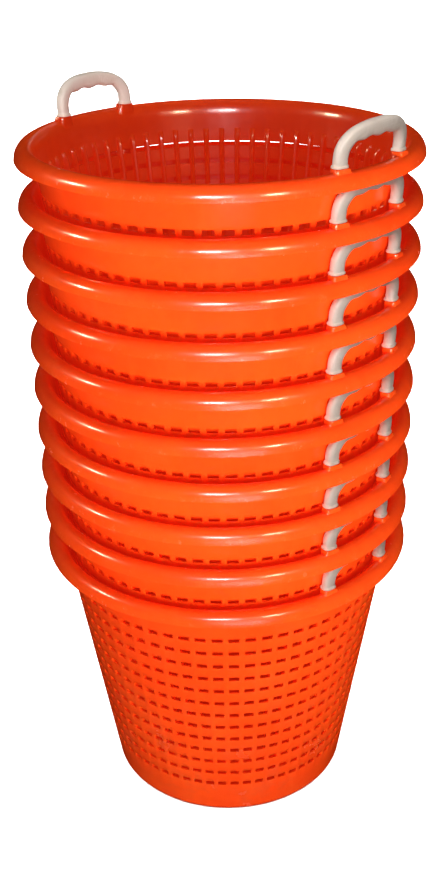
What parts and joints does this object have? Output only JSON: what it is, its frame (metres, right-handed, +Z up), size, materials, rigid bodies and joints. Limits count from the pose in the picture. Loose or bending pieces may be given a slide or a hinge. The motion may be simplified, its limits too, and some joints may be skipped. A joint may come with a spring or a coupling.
{
  "type": "nesting basket stack",
  "caption": "Stack of nested round perforated plastic baskets with rolled rims, each with two clip-in D-shaped grip handles; every basket lifts off the one below.",
  "frame": {"origin": "centre of the bottom basket's foot, on the floor", "axes": "+Z up the stack's axis; the grip handles lie on +X and -X"},
  "size_m": [0.5, 0.5, 0.9693],
  "materials": {
    "orange_plastic": "glossy injection-moulded polyethylene",
    "off_white_plastic": "satin injection-moulded plastic"
  },
  "bodies": {
    "basket_01": {"basket_01_shell": "orange_plastic", "basket_01_right_handle": "off_white_plastic", "basket_01_left_handle": "off_white_plastic"},
    "basket_02": {"basket_02_shell": "orange_plastic", "basket_02_right_handle": "off_white_plastic", "basket_02_left_handle": "off_white_plastic"},
    "basket_03": {"basket_03_shell": "orange_plastic", "basket_03_right_handle": "off_white_plastic", "basket_03_left_handle": "off_white_plastic"},
    "basket_04": {"basket_04_shell": "orange_plastic", "basket_04_right_handle": "off_white_plastic", "basket_04_left_handle": "off_white_plastic"},
    "basket_05": {"basket_05_shell": "orange_plastic", "basket_05_right_handle": "off_white_plastic", "basket_05_left_handle": "off_white_plastic"},
    "basket_06": {"basket_06_shell": "orange_plastic", "basket_06_right_handle": "off_white_plastic", "basket_06_left_handle": "off_white_plastic"},
    "basket_07": {"basket_07_shell": "orange_plastic", "basket_07_right_handle": "off_white_plastic", "basket_07_left_handle": "off_white_plastic"},
    "basket_08": {"basket_08_shell": "orange_plastic", "basket_08_right_handle": "off_white_plastic", "basket_08_left_handle": "off_white_plastic"},
    "basket_09": {"basket_09_shell": "orange_plastic", "basket_09_right_handle": "off_white_plastic", "basket_09_left_handle": "off_white_plastic"},
    "basket_10": {"basket_10_shell": "orange_plastic", "basket_10_right_handle": "off_white_plastic", "basket_10_left_handle": "off_white_plastic"}
  },
  "joints": [
    {"name": "basket_02_lift", "type": "slide", "parent": "basket_01", "child": "basket_02", "axis": [0, 0, 1], "range_m": [0, 0.4]},
    {"name": "basket_03_lift", "type": "slide", "parent": "basket_02", "child": "basket_03", "axis": [0, 0, 1], "range_m": [0, 0.4]},
    {"name": "basket_04_lift", "type": "slide", "parent": "basket_03", "child": "basket_04", "axis": [0, 0, 1], "range_m": [0, 0.4]},
    {"name": "basket_05_lift", "type": "slide", "parent": "basket_04", "child": "basket_05", "axis": [0, 0, 1], "range_m": [0, 0.4]},
    {"name": "basket_06_lift", "type": "slide", "parent": "basket_05", "child": "basket_06", "axis": [0, 0, 1], "range_m": [0, 0.4]},
    {"name": "basket_07_lift", "type": "slide", "parent": "basket_06", "child": "basket_07", "axis": [0, 0, 1], "range_m": [0, 0.4]},
    {"name": "basket_08_lift", "type": "slide", "parent": "basket_07", "child": "basket_08", "axis": [0, 0, 1], "range_m": [0, 0.4]},
    {"name": "basket_09_lift", "type": "slide", "parent": "basket_08", "child": "basket_09", "axis": [0, 0, 1], "range_m": [0, 0.4]},
    {"name": "basket_10_lift", "type": "slide", "parent": "basket_09", "child": "basket_10", "axis": [0, 0, 1], "range_m": [0, 0.4]}
  ]
}
